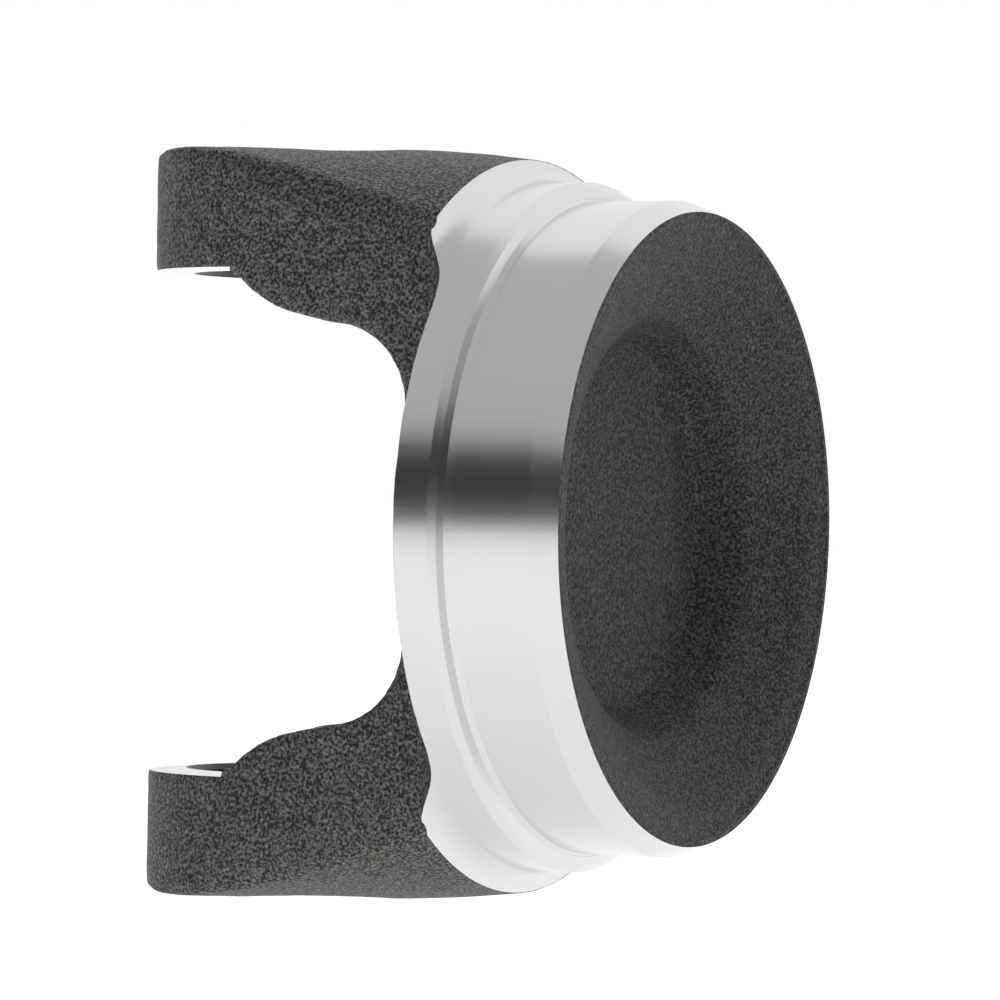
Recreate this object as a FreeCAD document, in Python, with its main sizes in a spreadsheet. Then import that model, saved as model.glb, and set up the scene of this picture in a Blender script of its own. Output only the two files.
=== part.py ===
import FreeCAD, Part
import os
import re
import Sketcher

# Forged weld yoke of a driveshaft: one steel forging with two lugs for a universal joint's cross at
# one end and a turned spigot at the other, which is pressed into the tube and welded at its bevel.
# Frame: origin at the centre of the cross, +X along the shaft towards the tube, +Z along the cross
# bore. Lengths in millimetres. A cell that ends in _in is measured back from the face of the tube
# end, and one that ends in _z is a height above the shaft's axis.

SIZES = {
    "cross_to_end": 48.2,
    # turned spigot and collar
    "end_d": 69.5,
    "lead_in": 3.0,
    "seat_d": 72.0,
    "seat_in": 12.0,
    "seat_fillet": 1.2,
    "bevel_in": 13.8,
    "collar_d": 76.2,
    "collar_in": 17.9,
    "shoulder_rise": 2.4,
    "shoulder_length": 1.9,
    "shoulder_fillet": 2.6,
    # forged back of the tube end
    "web_in": 24.2,
    "web_d": 42.0,
    # forged hollow in the tube end
    "lip_d": 63.4,
    "lip_in": 0.6,
    "crest_d": 46.0,
    "crest_in": 5.2,
    "pocket_d": 39.0,
    "pocket_in": 10.0,
    # fork, by sections across the shaft
    "half_width": 24.5,
    "draft_step": 1.0,
    "tip_reach": 15.3,
    "tip_radius": 19.4,
    "tip_crown_z": 41.2,
    "tip_parting_z": 38.6,
    "boss_reach": 3.5,
    "boss_crown_z": 42.2,
    "boss_crown_radius": 150.0,
    "boss_parting_z": 37.2,
    "arm_reach": 18.5,
    "arm_crown_z": 41.7,
    "arm_crown_radius": 52.0,
    "arm_parting_z": 31.8,
    "root_crown_z": 40.4,
    "root_parting_z": 27.6,
    # opening between the arms
    "boss_z": 27.9,
    "step_reach": 2.2,
    "step_radius": 13.7,
    "arm_inner_reach": 11.0,
    "arm_inner_z": 22.6,
    "throat_z": 21.7,
    "throat_radius": 9.0,
    # cross bore
    "bore_d": 27.0,
    "bore_chamfer": 0.6,
    "ring_groove_d": 28.6,
    "ring_groove_width": 1.6,
    "ring_groove_z": 39.7,
    # how far a cutting outline runs past the metal
    "overrun": 8.0,
}

document = FreeCAD.newDocument("weld_yoke")


def make_sheet():
    sheet = document.addObject("Spreadsheet::Sheet", "sizes")
    for row, (name, value) in enumerate(SIZES.items(), start=1):
        sheet.set(f"A{row}", name)
        sheet.set(f"B{row}", str(value))
        sheet.setAlias(f"B{row}", name)
    document.recompute()


def cells(text):
    """An expression with each cell's name written in full."""
    return re.sub(r"[a-z]+_[a-z_]+|overrun", lambda word: "sizes." + word.group(), text)


def new_sketch(body, name, role, offset=None):
    """A sketch on one of the body's own planes, moved along the plane's normal by an expression."""
    sketch = body.newObject("Sketcher::SketchObject", name)
    plane = next(o for o in body.Origin.OriginFeatures if o.Role == role)
    sketch.AttachmentSupport = (plane, "")
    sketch.MapMode = "FlatFace"
    if offset:
        sketch.setExpression("AttachmentOffset.Base.z", cells(offset))
    document.recompute()
    return sketch


def pin(sketch, edge, end, x, y):
    """Hold one end of an edge at two expressions, measured from the sketch's origin."""
    for kind, text in (("DistanceX", x), ("DistanceY", y)):
        value = float(sketch.evalExpression(cells(text)))
        index = sketch.addConstraint(Sketcher.Constraint(kind, -1, 1, edge, end, value))
        sketch.setExpression(f"Constraints[{index}]", cells(text))


def arc_middle(start, stop, radius):
    """Middle point of an arc from start to stop that turns left, or right for a negative radius."""
    chord = stop - start
    side = FreeCAD.Vector(-chord.y, chord.x, 0).normalize()
    rise = abs(radius) - (radius ** 2 - (chord.Length / 2) ** 2) ** 0.5
    return (start + stop) / 2 - side * (rise if radius > 0 else -rise)


def draw(sketch, corners):
    """Closed outline. A corner is (x, y), or (x, y, radius) where an arc leads to the next one."""
    values = [[float(sketch.evalExpression(cells(text))) for text in corner] for corner in corners]
    points = [FreeCAD.Vector(value[0], value[1], 0) for value in values]
    first = sketch.GeometryCount
    ends = []
    for i, value in enumerate(values):
        start, stop = points[i], points[(i + 1) % len(points)]
        if len(value) == 2:
            sketch.addGeometry(Part.LineSegment(start, stop), False)
            ends.append((1, 2))
        else:
            sketch.addGeometry(Part.Arc(start, arc_middle(start, stop, value[2]), stop), False)
            ends.append((1, 2) if value[2] > 0 else (2, 1))
    for i, corner in enumerate(corners):
        after = (i + 1) % len(corners)
        sketch.addConstraint(
            Sketcher.Constraint("Coincident", first + i, ends[i][1], first + after, ends[after][0])
        )
        pin(sketch, first + i, ends[i][0], corner[0], corner[1])
        if len(corner) == 3:
            radius = Sketcher.Constraint("Radius", first + i, abs(values[i][2]))
            index = sketch.addConstraint(radius)
            sketch.setExpression(f"Constraints[{index}]", cells(corner[2].lstrip("-")))
    document.recompute()


def fork_section(body, name, at, crown, radius, parting):
    """Section across both arms: crowned outside, drafted edges, flat sides at the parting line."""
    edge = "half_width - draft_step"
    edge_z = f"{crown} - {radius} + sqrt({radius} ^ 2 - ({edge}) ^ 2)"
    sketch = new_sketch(body, name, "YZ_Plane", at)
    draw(sketch, [
        (edge, edge_z, radius),
        (f"-({edge})", edge_z),
        ("-half_width", parting),
        ("-half_width", f"-{parting}"),
        (f"-({edge})", f"-({edge_z})", radius),
        (edge, f"-({edge_z})"),
        ("half_width", f"-{parting}"),
        ("half_width", parting),
    ])
    return sketch


def add_fork(body):
    """Both arms and the web between them, still as one crowned bar."""
    sections = [
        fork_section(body, "TipSection", "-tip_reach - 1", "tip_crown_z", "boss_crown_radius",
                     "tip_parting_z"),
        fork_section(body, "BossSection", "boss_reach", "boss_crown_z", "boss_crown_radius",
                     "boss_parting_z"),
        fork_section(body, "ArmSection", "arm_reach", "arm_crown_z", "arm_crown_radius",
                     "arm_parting_z"),
        fork_section(body, "RootSection", "cross_to_end - collar_in", "root_crown_z",
                     "root_crown_z", "root_parting_z"),
    ]
    loft = body.newObject("PartDesign::AdditiveLoft", "Fork")
    loft.Profile = sections[0]
    loft.Sections = sections[1:]
    loft.Ruled = False
    document.recompute()


def add_pocket(body, name, sketch):
    pocket = body.newObject("PartDesign::Pocket", name)
    pocket.Profile = sketch
    pocket.Type = "ThroughAll"
    pocket.Midplane = True
    document.recompute()


def cut_lug_outline(body):
    """Rounded lugs with a flat end, seen along the cross bore."""
    side_x = "tip_radius - tip_reach"
    out_x = "-tip_reach - overrun"
    out_y = "half_width + overrun"
    sketch = new_sketch(body, "LugOutline", "XY_Plane")
    draw(sketch, [
        (side_x, "half_width", "tip_radius"),
        ("-tip_reach", "half_width - tip_radius"),
        ("-tip_reach", "-(half_width - tip_radius)", "tip_radius"),
        (side_x, "-half_width"),
        (side_x, f"-({out_y})"),
        (out_x, f"-({out_y})"),
        (out_x, out_y),
        (side_x, out_y),
    ])
    add_pocket(body, "LugEnds", sketch)


def cut_throat(body):
    """Opening between the arms: faced insides of the lugs, a rounded step and the throat."""
    web_x = "cross_to_end - web_in"
    half = [
        ("step_reach", "boss_z", "step_radius"),
        ("arm_inner_reach", "arm_inner_z"),
        (f"{web_x} - throat_radius", "throat_z", "-throat_radius"),
        (web_x, "throat_z - throat_radius"),
    ]
    sketch = new_sketch(body, "ThroatOutline", "XZ_Plane")
    draw(sketch, [
        ("-tip_reach - overrun", "boss_z"),
        *half,
        (web_x, "-(throat_z - throat_radius)", "-throat_radius"),
        (f"{web_x} - throat_radius", "-throat_z"),
        ("arm_inner_reach", "-arm_inner_z", "step_radius"),
        ("step_reach", "-boss_z"),
        ("-tip_reach - overrun", "-boss_z"),
    ])
    add_pocket(body, "Throat", sketch)


def revolve(body, kind, name, sketch, axis):
    feature = body.newObject(f"PartDesign::{kind}", name)
    feature.Profile = sketch
    feature.ReferenceAxis = (sketch, [axis])
    feature.Angle = 360
    document.recompute()


def add_tube_end(body):
    """Forged disc behind the tube seat, before turning."""
    sketch = new_sketch(body, "TubeEndOutline", "XZ_Plane")
    draw(sketch, [
        ("cross_to_end - web_in", "0"),
        ("cross_to_end", "0"),
        ("cross_to_end", "collar_d / 2"),
        ("cross_to_end - collar_in", "collar_d / 2"),
        ("cross_to_end - web_in", "web_d / 2"),
    ])
    revolve(body, "Revolution", "TubeEnd", sketch, "H_Axis")


def turn_outside(body):
    """Lathe work: shoulder on the arms, collar, weld bevel, tube seat and lead-in."""
    shoulder_x = "cross_to_end - collar_in - shoulder_length"
    shoulder_z = "collar_d / 2 + shoulder_rise"
    outside = f"{shoulder_z} + overrun"
    sketch = new_sketch(body, "TurnedOutline", "XZ_Plane")
    draw(sketch, [
        (shoulder_x, outside),
        (shoulder_x, shoulder_z, "shoulder_fillet"),
        ("cross_to_end - collar_in", "collar_d / 2"),
        ("cross_to_end - bevel_in", "collar_d / 2"),
        ("cross_to_end - seat_in - seat_fillet", "seat_d / 2 + seat_fillet"),
        ("cross_to_end - seat_in", "seat_d / 2"),
        ("cross_to_end - lead_in", "seat_d / 2"),
        ("cross_to_end", "end_d / 2"),
        ("cross_to_end + overrun", "end_d / 2"),
        ("cross_to_end + overrun", outside),
    ])
    revolve(body, "Groove", "Turning", sketch, "H_Axis")


def cut_hollow(body):
    """Forged hollow in the tube end: rounded lip, shallow dish and a deeper round pocket."""
    sketch = new_sketch(body, "HollowOutline", "XZ_Plane")
    draw(sketch, [
        ("cross_to_end - pocket_in", "0"),
        ("cross_to_end + overrun", "0"),
        ("cross_to_end + overrun", "end_d / 2"),
        ("cross_to_end", "end_d / 2"),
        ("cross_to_end - lip_in", "lip_d / 2"),
        ("cross_to_end - crest_in", "crest_d / 2"),
        ("cross_to_end - pocket_in", "pocket_d / 2"),
    ])
    revolve(body, "Groove", "Hollow", sketch, "H_Axis")


def bore_cross(body):
    """Bearing bore through both lugs, with chamfered mouths and a snap-ring groove in each."""
    half = [
        ("bore_d / 2 + bore_chamfer", "0"),
        ("bore_d / 2 + bore_chamfer", "boss_z"),
        ("bore_d / 2", "boss_z + bore_chamfer"),
        ("bore_d / 2", "ring_groove_z"),
        ("ring_groove_d / 2", "ring_groove_z"),
        ("ring_groove_d / 2", "ring_groove_z + ring_groove_width"),
        ("bore_d / 2", "ring_groove_z + ring_groove_width"),
        ("bore_d / 2", "boss_crown_z + overrun"),
        ("0", "boss_crown_z + overrun"),
    ]
    for name, sign in (("UpperBore", ""), ("LowerBore", "-")):
        sketch = new_sketch(body, f"{name}Outline", "XZ_Plane")
        draw(sketch, [("0", "0")] + [(x, f"{sign}({z})") for x, z in half])
        revolve(body, "Groove", name, sketch, "V_Axis")


def make_yoke():
    body = document.addObject("PartDesign::Body", "Yoke")
    body.Label = "yoke"
    body.Placement = FreeCAD.Placement()
    add_fork(body)
    cut_lug_outline(body)
    cut_throat(body)
    add_tube_end(body)
    turn_outside(body)
    cut_hollow(body)
    bore_cross(body)
    return body


def check(parts):
    for feature in document.Objects:
        if "Invalid" in feature.State or "Error" in feature.State:
            raise RuntimeError(f"{feature.Name} failed: {feature.State}")
    for part in parts:
        if part.Shape.isNull() or not part.Shape.isValid() or len(part.Shape.Solids) != 1:
            raise RuntimeError(f"{part.Label} is not one valid solid")


make_sheet()
yoke = make_yoke()
document.recompute()
check([yoke])
os.makedirs("parts", exist_ok=True)
yoke.Shape.exportStep(f"parts/{yoke.Label}.step")
print("volume mm3", round(yoke.Shape.Volume), "box", yoke.Shape.BoundBox)
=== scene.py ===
import math

import bpy
import bmesh
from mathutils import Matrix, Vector, noise


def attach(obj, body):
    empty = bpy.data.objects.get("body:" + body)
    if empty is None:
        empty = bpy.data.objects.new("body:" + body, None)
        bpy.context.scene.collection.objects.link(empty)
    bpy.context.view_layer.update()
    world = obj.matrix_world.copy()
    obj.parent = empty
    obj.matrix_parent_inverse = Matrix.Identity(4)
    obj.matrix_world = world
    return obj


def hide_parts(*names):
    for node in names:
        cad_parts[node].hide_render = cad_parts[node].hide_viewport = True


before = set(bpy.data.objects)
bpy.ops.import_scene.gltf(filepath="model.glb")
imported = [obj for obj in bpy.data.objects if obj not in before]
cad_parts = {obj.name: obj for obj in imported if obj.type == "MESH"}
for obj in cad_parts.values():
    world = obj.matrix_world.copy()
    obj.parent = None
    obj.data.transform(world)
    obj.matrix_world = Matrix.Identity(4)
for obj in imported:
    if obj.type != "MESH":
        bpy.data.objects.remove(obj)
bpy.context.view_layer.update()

# Dressed model of the forged weld yoke. The forging is made first, as a rough blank with stock on
# it, and is then turned and bored, so that the ragged border between black forging and bright steel
# lies where the lathe tool ran out. Lengths are in millimetres until a mesh is made.

MM = 0.001

# sizes as in the part's source
CROSS_TO_END = 48.2
END_R = 34.75
LEAD_X = CROSS_TO_END - 3.0
SEAT_R = 36.0
SEAT_X = CROSS_TO_END - 12.0
BEVEL_X = CROSS_TO_END - 13.8
COLLAR_R = 38.1
COLLAR_X = CROSS_TO_END - 17.9
BORE_R = 13.5
BORE_CHAMFER = 0.6
GROOVE_DEPTH = 0.8
GROOVE_WIDTH = 1.6
GROOVE_Z = 39.7
BOSS_Z = 27.9
STEP_X = 2.2
TIP_X = -15.3
TIP_R = 19.4
HALF_WIDTH = 24.5

# turned forms that the part's source has in another shape or lacks
SEAT_FILLET = 0.7
BEVEL = 0.75
SHOULDER = 3.0
SHOULDER_STEPS = 10

# stock on the blank, and where it stops
STOCK = 2.4
LIP_GAP = 0.1
PLUG_OVERLAP = 1.0
PLUG_TOP = 40.6
PAD_INSET = 0.4
PAD_DEPTH = 1.0
TIP_STEPS = 12
FLARE = 5.0
FLARE_Z = 32.0
FLARE_STEPS = 8

# how finely the skin is made
FINE_VOXEL = 0.55
VOXEL = FINE_VOXEL
SMOOTHING = 8
RING_SEGMENTS = 160
PLUG_SEGMENTS = 96
BORE_SEGMENTS = 128
TURNED_SEGMENTS = 360
SHARP_FROM = 14

# forged surface: depth and spacing of its broad and its small lumps, and how far it is set in
BROAD_LUMP = 0.05
BROAD_SPACING = 4
SMALL_LUMP = 0.03
SMALL_SPACING = 1.6
SET_IN = 0.08
# where the painted shade in the hollow of the tube end begins, along the axis
HOLLOW_X = 37.0

# reach of a cutting tool beyond the metal
CUT_FROM = -40
CUT_REACH = 40
BORE_REACH = 50
ENVELOPE_R = 70

# studio, in metres and degrees
FLOOR_SIZE = 6
FLOOR_Z = -0.06
FLOOR_GLOW = 0.6
CAMERA_PLACE = (0.3211, -0.5798, 0.00287)
CAMERA_TURN = (90, -0.957, 27.17)
CAMERA_LENS = 210.65


def make_object(name, mesh):
    item = bpy.data.objects.new(name, mesh)
    bpy.context.scene.collection.objects.link(item)
    return item


def lathe(name, outline, segments, axis="X"):
    """Closed solid turned about an axis. The outline is (place on the axis, radius), axis to axis."""
    form = bmesh.new()
    rings = []
    for along, radius in outline:
        if radius == 0:
            rings.append([form.verts.new((along * MM, 0, 0))])
            continue
        ring = []
        for step in range(segments):
            turn = 2 * math.pi * step / segments
            place = (along * MM, radius * MM * math.cos(turn), radius * MM * math.sin(turn))
            ring.append(form.verts.new(place))
        rings.append(ring)
    for first, second in zip(rings, rings[1:]):
        for step in range(segments):
            after = (step + 1) % segments
            if len(first) == 1:
                form.faces.new((first[0], second[step], second[after]))
            elif len(second) == 1:
                form.faces.new((first[step], second[0], first[after]))
            else:
                form.faces.new((first[step], second[step], second[after], first[after]))
    if axis == "Z":
        for vert in form.verts:
            vert.co = Vector((vert.co.y, vert.co.z, vert.co.x))
    bmesh.ops.recalc_face_normals(form, faces=form.faces)
    mesh = bpy.data.meshes.new(name)
    form.to_mesh(mesh)
    form.free()
    return make_object(name, mesh)


def arc(start, stop, radius, steps):
    """Points of an arc, bulging to the left of the way it goes, or right with a negative radius."""
    start, stop = Vector(start), Vector(stop)
    chord = stop - start
    side = Vector((-chord.y, chord.x)).normalized()
    rise = math.sqrt(max(radius ** 2 - (chord.length / 2) ** 2, 0))
    centre = (start + stop) / 2 - side * math.copysign(rise, radius)
    size = abs(radius)
    first = math.atan2(start.y - centre.y, start.x - centre.x)
    last = math.atan2(stop.y - centre.y, stop.x - centre.x)
    turn = (last - first + math.pi) % (2 * math.pi) - math.pi
    angles = [first + turn * step / steps for step in range(steps + 1)]
    return [(centre.x + size * math.cos(a), centre.y + size * math.sin(a)) for a in angles]


def prism(name, outline, low, high):
    """Closed solid with an outline in X and Y, between two heights."""
    form = bmesh.new()
    floor = form.faces.new([form.verts.new((x * MM, y * MM, low * MM)) for x, y in outline])
    lid = bmesh.ops.extrude_face_region(form, geom=[floor])["geom"]
    bmesh.ops.translate(form, vec=(0, 0, (high - low) * MM),
                        verts=[part for part in lid if isinstance(part, bmesh.types.BMVert)])
    bmesh.ops.recalc_face_normals(form, faces=form.faces)
    mesh = bpy.data.meshes.new(name)
    form.to_mesh(mesh)
    form.free()
    return make_object(name, mesh)


def apply_modifiers(item):
    graph = bpy.context.evaluated_depsgraph_get()
    mesh = bpy.data.meshes.new_from_object(item.evaluated_get(graph))
    item.modifiers.clear()
    item.data = mesh


def cut(item, tool, operation):
    step = item.modifiers.new("cut", "BOOLEAN")
    step.operation = operation
    step.solver = "EXACT"
    step.object = tool
    step.material_mode = "TRANSFER"
    apply_modifiers(item)
    bpy.data.objects.remove(tool)


def forge_blank():
    """The forging as it leaves the dies: the CAD form with stock for turning and boring."""
    blank = make_object("yoke_skin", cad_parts["yoke"].data.copy())
    lip_r = END_R + LIP_GAP
    ring = lathe("ring", [
        (CROSS_TO_END - 1, lip_r), (CROSS_TO_END + STOCK, lip_r),
        (CROSS_TO_END + STOCK, COLLAR_R + STOCK), (COLLAR_X, COLLAR_R + STOCK),
        (COLLAR_X + STOCK, lip_r - 1), (CROSS_TO_END - 3, lip_r - 1), (CROSS_TO_END - 1, lip_r),
    ], RING_SEGMENTS)
    pieces = [blank, ring]
    tip_y = HALF_WIDTH - TIP_R
    pad_r = TIP_R - PAD_INSET
    pad_y = tip_y + math.sqrt(pad_r ** 2 - (STEP_X - TIP_X - TIP_R) ** 2)
    tip = arc((TIP_X + PAD_INSET, tip_y), (STEP_X, pad_y), pad_r, TIP_STEPS)
    plug_z = BOSS_Z - PLUG_OVERLAP
    plug_r = BORE_R + PLUG_OVERLAP
    for sign in (1, -1):
        plug = [(plug_z, 0), (plug_z, plug_r), (PLUG_TOP, plug_r), (PLUG_TOP, 0)]
        pieces.append(lathe("plug", [(sign * z, radius) for z, radius in plug], PLUG_SEGMENTS, "Z"))
        pad = [*tip, *[(x, -y) for x, y in tip[::-1]]]
        pieces.append(prism("pad", pad, sign * (BOSS_Z - PAD_DEPTH), sign * (BOSS_Z + PAD_DEPTH)))
        root = [(x, sign * y) for x, y in arc(
            (COLLAR_X - FLARE, HALF_WIDTH), (COLLAR_X, HALF_WIDTH + FLARE), -FLARE, FLARE_STEPS)]
        flare = [*root, (COLLAR_X, 0), (COLLAR_X - FLARE, 0)]
        pieces.append(prism("flare", flare, -FLARE_Z, FLARE_Z))
    form = bmesh.new()
    for piece in pieces:
        form.from_mesh(piece.data)
    form.to_mesh(blank.data)
    form.free()
    for piece in pieces[1:]:
        bpy.data.objects.remove(piece)
    remesh = blank.modifiers.new("remesh", "REMESH")
    remesh.mode = "VOXEL"
    remesh.voxel_size = VOXEL * MM
    smooth = blank.modifiers.new("smooth", "SMOOTH")
    smooth.factor = 0.5
    smooth.iterations = round(SMOOTHING * (FINE_VOXEL / VOXEL) ** 2)
    apply_modifiers(blank)
    return blank


def roughen(blank):
    """Small hollows and lumps of the die and of the oxide skin."""
    normals = [vert.normal.copy() for vert in blank.data.vertices]
    for vert, normal in zip(blank.data.vertices, normals):
        place = vert.co / MM
        lump = (BROAD_LUMP * noise.noise(place / BROAD_SPACING)
                + SMALL_LUMP * noise.noise(place / SMALL_SPACING))
        vert.co += normal * (lump - SET_IN) * MM


def turn_and_bore(blank, bright, shaded_bore, forged):
    """The turned outside, the faces between the lugs and the cross bore, each in its own metal; the
    bore's is a copy of the cut steel with painted shade.
    """
    top = COLLAR_R + SHOULDER
    envelope = lathe("envelope", [
        (CUT_FROM, 0), (CUT_FROM, ENVELOPE_R), (COLLAR_X - SHOULDER, ENVELOPE_R),
        *arc((COLLAR_X - SHOULDER, top), (COLLAR_X, COLLAR_R), -SHOULDER, SHOULDER_STEPS),
        (BEVEL_X, COLLAR_R), (BEVEL_X + BEVEL, COLLAR_R - BEVEL),
        (SEAT_X - SEAT_FILLET, SEAT_R + SEAT_FILLET / 2), (SEAT_X, SEAT_R),
        (LEAD_X, SEAT_R), (CROSS_TO_END, END_R), (CROSS_TO_END, 0),
    ], TURNED_SEGMENTS)
    envelope.data.materials.append(bright)
    envelope.data.materials.append(forged)
    for face in envelope.data.polygons:
        if face.normal.x > 0.99:
            face.material_index = 1
    cut(blank, envelope, "INTERSECT")
    facing = [
        (CUT_FROM, -CUT_REACH), (STEP_X, -CUT_REACH), (STEP_X, CUT_REACH), (CUT_FROM, CUT_REACH),
    ]
    facer = prism("facer", facing, -BOSS_Z, BOSS_Z)
    facer.data.materials.append(bright)
    cut(blank, facer, "DIFFERENCE")
    for sign in (1, -1):
        chamfer_r = BORE_R + BORE_CHAMFER
        groove_r = BORE_R + GROOVE_DEPTH
        groove_top = GROOVE_Z + GROOVE_WIDTH
        bore = [
            (0, 0), (0, chamfer_r), (BOSS_Z, chamfer_r), (BOSS_Z + BORE_CHAMFER, BORE_R),
            (GROOVE_Z, BORE_R), (GROOVE_Z, groove_r), (groove_top, groove_r), (groove_top, BORE_R),
            (BORE_REACH, BORE_R), (BORE_REACH, 0),
        ]
        tool = lathe("borer", [(sign * z, radius) for z, radius in bore], BORE_SEGMENTS, "Z")
        tool.data.materials.append(shaded_bore)
        cut(blank, tool, "DIFFERENCE")


def darken_hollow(item, forged, hollow_shade):
    """Painted shade: forged faces in the hollow of the tube end get a darker copy of the forged
    steel.
    """
    item.data.materials.append(hollow_shade)
    last = len(item.data.materials) - 1
    for face in item.data.polygons:
        is_forged = item.data.materials[face.material_index] == forged
        if is_forged and face.center.x > HOLLOW_X * MM:
            face.material_index = last


def make_material(name):
    material = bpy.data.materials.new(name)
    material.use_nodes = True
    return material, material.node_tree.nodes, material.node_tree.links


def forged_steel(name, dark, light):
    """Rough dark skin with fine grain between two greys."""
    material, nodes, links = make_material(name)
    shader = nodes["Principled BSDF"]
    shader.inputs["Metallic"].default_value = 0.6
    shader.inputs["Roughness"].default_value = 0.6
    coords = nodes.new("ShaderNodeTexCoord")
    grain = nodes.new("ShaderNodeTexNoise")
    grain.inputs["Scale"].default_value = 3000
    grain.inputs["Detail"].default_value = 3
    links.new(coords.outputs["Object"], grain.inputs["Vector"])
    ramp = nodes.new("ShaderNodeValToRGB")
    ramp.color_ramp.elements[0].position = 0.4
    ramp.color_ramp.elements[0].color = (dark, dark * 0.95, dark * 0.9, 1)
    ramp.color_ramp.elements[1].position = 0.75
    ramp.color_ramp.elements[1].color = (light, light * 0.96, light * 0.91, 1)
    links.new(grain.outputs["Fac"], ramp.inputs["Fac"])
    links.new(ramp.outputs["Color"], shader.inputs["Base Color"])
    bump = nodes.new("ShaderNodeBump")
    bump.inputs["Distance"].default_value = 0.0002
    bump.inputs["Strength"].default_value = 1.0
    links.new(grain.outputs["Fac"], bump.inputs["Height"])
    links.new(bump.outputs["Normal"], shader.inputs["Normal"])
    return material


def machined_steel(name, tone, roughness):
    """Cut metal: bright where it was turned, painted dark for the shade inside the bore."""
    material, nodes, _ = make_material(name)
    shader = nodes["Principled BSDF"]
    shader.inputs["Base Color"].default_value = (tone, tone * 0.99, tone * 0.98, 1)
    shader.inputs["Metallic"].default_value = 1.0
    shader.inputs["Roughness"].default_value = roughness
    return material


def step_between(nodes, links, source, start, stop, dark, light):
    """Brightness that climbs from dark to light as the source goes from start to stop."""
    climb = nodes.new("ShaderNodeMapRange")
    climb.inputs["From Min"].default_value = start
    climb.inputs["From Max"].default_value = stop
    climb.inputs["To Min"].default_value = dark
    climb.inputs["To Max"].default_value = light
    links.new(source, climb.inputs["Value"])
    return climb.outputs["Result"]


def larger(nodes, links, first, second):
    math_node = nodes.new("ShaderNodeMath")
    math_node.operation = "MAXIMUM"
    links.new(first, math_node.inputs[0])
    links.new(second, math_node.inputs[1])
    return math_node.outputs["Value"]


def light_scene():
    """Soft light from above and behind, dark on the camera's side, and white to the camera."""
    world = bpy.data.worlds.new("studio")
    bpy.context.scene.world = world
    world.use_nodes = True
    nodes, links = world.node_tree.nodes, world.node_tree.links
    background = nodes["Background"]
    background.inputs["Strength"].default_value = 1.0
    direction = nodes.new("ShaderNodeTexCoord")
    parts = nodes.new("ShaderNodeSeparateXYZ")
    links.new(direction.outputs["Generated"], parts.inputs["Vector"])
    above = step_between(nodes, links, parts.outputs["Z"], 0.37, 0.47, 0.02, 0.55)
    behind = step_between(nodes, links, parts.outputs["Y"], 0.2, 0.35, 0.0, 1.0)
    path = nodes.new("ShaderNodeLightPath")
    light = larger(nodes, links, above, behind)
    links.new(larger(nodes, links, light, path.outputs["Is Camera Ray"]), background.inputs["Color"])


def make_floor():
    """White table that keeps the shadow, lifted to white for camera and mirror rays."""
    mesh = bpy.data.meshes.new("floor")
    corners = [(-1, -1), (1, -1), (1, 1), (-1, 1)]
    mesh.from_pydata([(x * FLOOR_SIZE, y * FLOOR_SIZE, FLOOR_Z) for x, y in corners],
                     [], [(0, 1, 2, 3)])
    floor = make_object("floor", mesh)
    material, nodes, links = make_material("white_table")
    shader = nodes["Principled BSDF"]
    shader.inputs["Base Color"].default_value = (0.9, 0.9, 0.9, 1)
    shader.inputs["Roughness"].default_value = 0.8
    shader.inputs["Emission Color"].default_value = (1, 1, 1, 1)
    path = nodes.new("ShaderNodeLightPath")
    glow = nodes.new("ShaderNodeMath")
    glow.operation = "MULTIPLY"
    glow.inputs[1].default_value = FLOOR_GLOW
    shown = larger(nodes, links, path.outputs["Is Camera Ray"], path.outputs["Is Glossy Ray"])
    links.new(shown, glow.inputs[0])
    links.new(glow.outputs["Value"], shader.inputs["Emission Strength"])
    floor.data.materials.append(material)


def add_camera():
    lens = bpy.data.cameras.new("camera")
    lens.sensor_width = 36
    lens.lens = CAMERA_LENS
    lens.clip_start = 0.01
    camera = bpy.data.objects.new("camera", lens)
    camera.location = CAMERA_PLACE
    camera.rotation_euler = [math.radians(turn) for turn in CAMERA_TURN]
    bpy.context.scene.collection.objects.link(camera)
    bpy.context.scene.camera = camera


forged = forged_steel("forged_steel", 0.03, 0.4)
# painted shade: a darker copy of the forged steel for the hollow of the tube end
hollow_shade = forged_steel("hollow_painted_shade", 0.012, 0.17)
bright = machined_steel("turned_steel", 0.72, 0.22)
# painted shade: the bore gets a near-black copy of the turned steel, for the shade inside it
shaded_bore = machined_steel("bore_painted_shade", 0.05, 0.4)
skin = forge_blank()
skin.data.materials.clear()
skin.data.materials.append(forged)
roughen(skin)
turn_and_bore(skin, bright, shaded_bore, forged)
darken_hollow(skin, forged, hollow_shade)
skin.data.shade_smooth()
skin.data.set_sharp_from_angle(angle=math.radians(SHARP_FROM))
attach(skin, "root")
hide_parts("yoke")
make_floor()
light_scene()
add_camera()
bpy.context.scene.view_settings.view_transform = "Standard"
